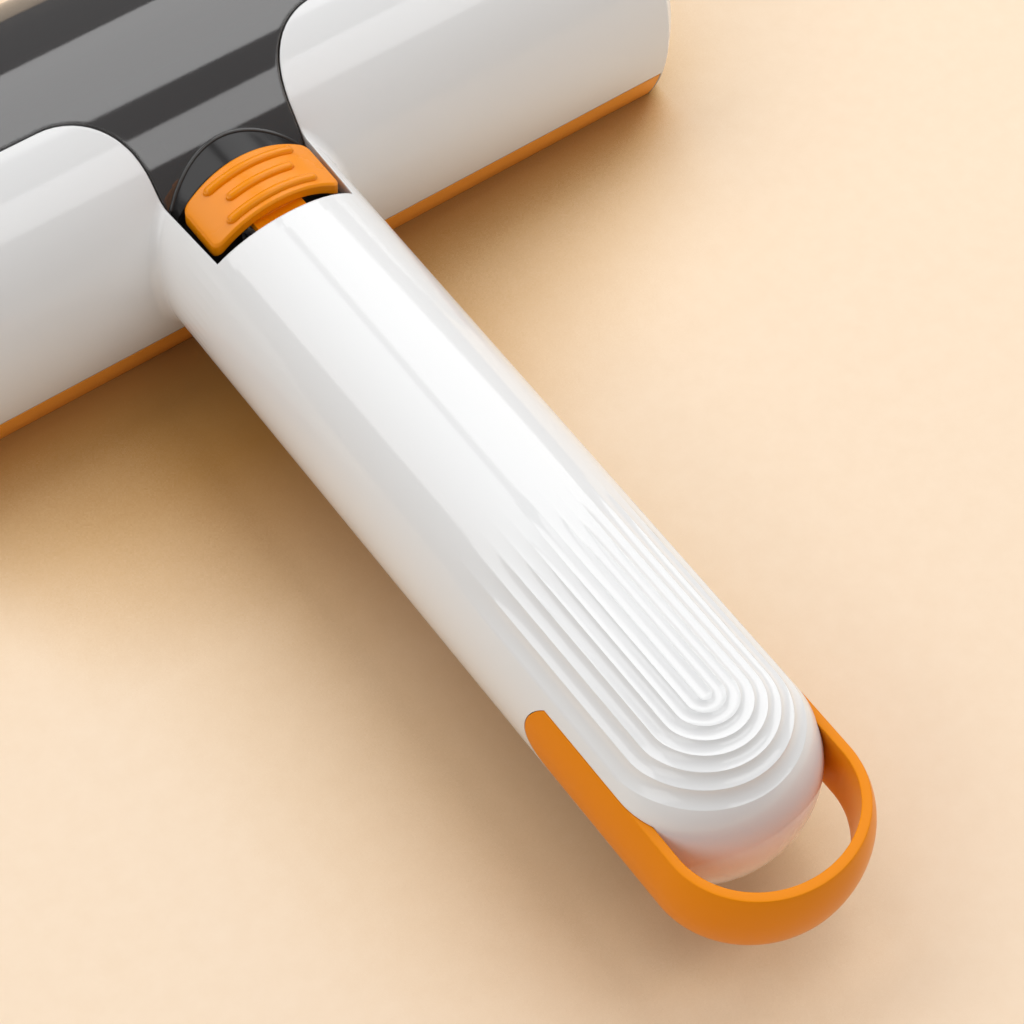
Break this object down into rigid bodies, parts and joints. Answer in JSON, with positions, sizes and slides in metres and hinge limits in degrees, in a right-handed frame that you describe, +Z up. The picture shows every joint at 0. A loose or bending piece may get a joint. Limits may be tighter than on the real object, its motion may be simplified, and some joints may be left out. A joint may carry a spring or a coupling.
{
  "type": "pet hair removal brush",
  "caption": "T-shaped pet hair roller with a round white head, smoky lid over the hair chamber, fluted handle, thumb release button and orange hanging loop.",
  "frame": {"origin": "on the floor plane under the middle of the head's round axis, half way along the head", "axes": "X along the head, the handle points to -Y, Z up"},
  "size_m": [0.184, 0.221, 0.0484],
  "materials": {
    "white_shell": "gloss moulded plastic",
    "orange_plastic": "satin moulded plastic",
    "smoky_lid": "glossy see-through smoky plastic",
    "inner_plastic": "plain moulded plastic",
    "red_velvet": "short directional pile",
    "dark_rubber": "matt",
    "steel": "plain steel"
  },
  "bodies": {
    "housing": {"main_housing": "white_shell", "handle_lower_shell": "white_shell", "handle_screw_front": "steel", "handle_screw_rear": "steel", "hanging_loop": "orange_plastic", "base_frame": "orange_plastic", "front_lint_strip": "red_velvet", "rear_lint_strip": "red_velvet", "base_screw_front_left": "steel", "base_screw_front_right": "steel", "base_screw_rear_left": "steel", "base_screw_rear_right": "steel", "left_bearing_block": "inner_plastic", "right_bearing_block": "inner_plastic", "drum_axle": "steel", "button_guide": "inner_plastic", "button_spring": "steel", "left_hinge_pin": "steel", "right_hinge_pin": "steel"},
    "lid": {"lid": "smoky_lid"},
    "button": {"release_button": "orange_plastic"},
    "drum": {"drum_core": "inner_plastic", "drum_pad_front": "red_velvet", "drum_pad_rear": "red_velvet", "drum_wiper": "dark_rubber", "left_drum_cap": "inner_plastic", "right_drum_cap": "inner_plastic"}
  },
  "joints": [
    {"name": "lid_hinge", "type": "hinge", "parent": "housing", "child": "lid", "pos_m": [0, 0.02874, 0.02324], "axis": [-1, 0, 0], "range_deg": [0, 90]},
    {"name": "button_press", "type": "slide", "parent": "housing", "child": "button", "axis": [0, 0, -1], "range_m": [0, 0.0018], "stiffness_N_per_m": 900, "springref_m": -0.001, "deforming": ["button_spring"]},
    {"name": "drum_swing", "type": "hinge", "parent": "housing", "child": "drum", "pos_m": [0, 0, 0.0217], "axis": [1, 0, 0], "range_deg": [-20, 20]}
  ]
}
